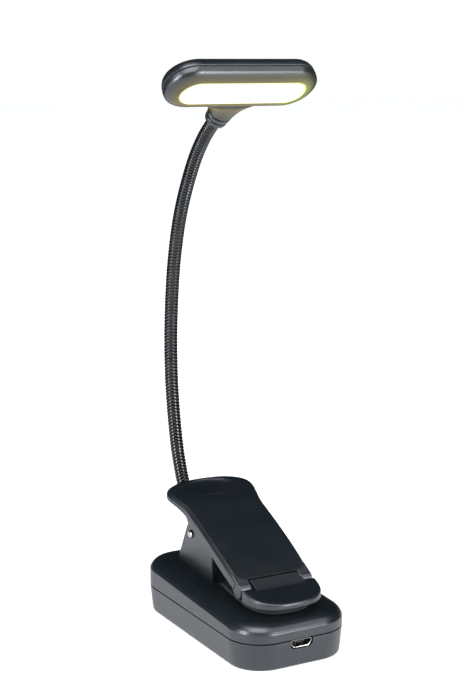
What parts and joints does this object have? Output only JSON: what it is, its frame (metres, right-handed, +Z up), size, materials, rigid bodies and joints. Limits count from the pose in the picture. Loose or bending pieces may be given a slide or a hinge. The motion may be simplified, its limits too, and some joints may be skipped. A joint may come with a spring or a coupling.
{
  "type": "clip on reading lamp",
  "caption": "Small rechargeable reading lamp: clip base with sprung lever and rocking foot, ribbed gooseneck, and pill-shaped head with a long warm window.",
  "frame": {"origin": "centre of the base underside, where the lamp stands", "axes": "+Z up, +X across the base, -Y towards the end with the charging port"},
  "size_m": [0.052, 0.0898, 0.1818],
  "materials": {
    "graphite_plastic": "fine satin graphite",
    "rubber": "matt black",
    "steel": "bright",
    "port_metal": "nickel plated",
    "neck_black": "black, semi-gloss, ribbed",
    "diffuser": "milky, lit warm white",
    "led": "lit",
    "clear_guide": "clear",
    "board_white": "white solder mask",
    "board_green": "green solder mask",
    "cell_wrap": "blue wrap",
    "foam": "pale foam",
    "plug_white": "white",
    "chip_black": "black"
  },
  "bodies": {
    "base": {"base_bottom_shell": "graphite_plastic", "base_top_shell": "graphite_plastic", "base_screw_1": "steel", "base_screw_2": "steel", "base_screw_3": "steel", "base_screw_4": "steel", "battery_cell": "cell_wrap", "battery_tape": "foam", "charge_board": "board_green", "charge_chip": "chip_black", "lead_plug": "plug_white", "usb_shell": "port_metal", "usb_tongue": "chip_black", "pivot_pin": "steel", "torsion_spring": "steel", "neck_socket": "rubber", "neck_nut": "steel", "neck_stub": "neck_black"},
    "lever": {"clip_lever": "graphite_plastic", "foot_pin": "steel"},
    "foot": {"jaw_foot": "graphite_plastic", "jaw_pad": "rubber"},
    "neck_1": {"neck_seg_1": "neck_black"},
    "neck_2": {"neck_seg_2": "neck_black"},
    "neck_3": {"neck_seg_3": "neck_black"},
    "neck_4": {"neck_seg_4": "neck_black"},
    "neck_5": {"neck_seg_5": "neck_black"},
    "neck_6": {"neck_seg_6": "neck_black"},
    "head": {"neck_seg_7": "neck_black", "crimp_sleeve": "steel", "head_bezel": "graphite_plastic", "head_back_cover": "graphite_plastic", "head_diffuser": "diffuser", "light_guide": "clear_guide", "led_board": "board_white", "led_1": "led", "led_2": "led", "led_3": "led", "led_4": "led", "led_5": "led", "led_6": "led", "tact_switch": "chip_black"},
    "button": {"power_button": "rubber"}
  },
  "joints": [
    {"name": "clip_open", "type": "hinge", "parent": "base", "child": "lever", "pos_m": [0, 0.0157, 0.0289], "axis": [-1, 0, 0], "range_deg": [0, 25], "stiffness_Nm_per_rad": 0.15, "springref_deg": -34.38, "deforming": ["torsion_spring"]},
    {"name": "foot_rock", "type": "hinge", "parent": "lever", "child": "foot", "pos_m": [0, -0.0193, 0.0207], "axis": [1, 0, 0], "range_deg": [0, 25]},
    {"name": "neck_bend_1", "type": "hinge", "parent": "base", "child": "neck_1", "pos_m": [0, 0.03339, 0.02629], "axis": [-1, 0, 0], "range_deg": [-10, 30]},
    {"name": "neck_side_1", "type": "hinge", "parent": "neck_1", "child": "neck_2", "pos_m": [0, 0.0452, 0.04624], "axis": [0, 0.9437, -0.3309], "range_deg": [-30, 30]},
    {"name": "neck_bend_2", "type": "hinge", "parent": "neck_2", "child": "neck_3", "pos_m": [0, 0.04991, 0.06907], "axis": [-1, 0, 0], "range_deg": [-25, 30]},
    {"name": "neck_side_2", "type": "hinge", "parent": "neck_3", "child": "neck_4", "pos_m": [0, 0.05048, 0.09239], "axis": [0, 0.9985, 0.0543], "range_deg": [-30, 30]},
    {"name": "neck_bend_3", "type": "hinge", "parent": "neck_4", "child": "neck_5", "pos_m": [0, 0.04747, 0.11552], "axis": [-1, 0, 0], "range_deg": [-25, 30]},
    {"name": "neck_side_3", "type": "hinge", "parent": "neck_5", "child": "neck_6", "pos_m": [0, 0.03972, 0.13747], "axis": [0, 0.8863, 0.4631], "range_deg": [-30, 30]},
    {"name": "head_tilt", "type": "hinge", "parent": "neck_6", "child": "head", "pos_m": [0, 0.02628, 0.15643], "axis": [-1, 0, 0], "range_deg": [-40, 45]},
    {"name": "button_press", "type": "slide", "parent": "head", "child": "button", "axis": [0, -0.5754, -0.8178], "range_m": [0, 0.0004], "stiffness_N_per_m": 900, "springref_m": -0.001}
  ],
  "couplings": [
    {"joint": "foot_rock", "follows": "clip_open", "ratio": 1}
  ]
}
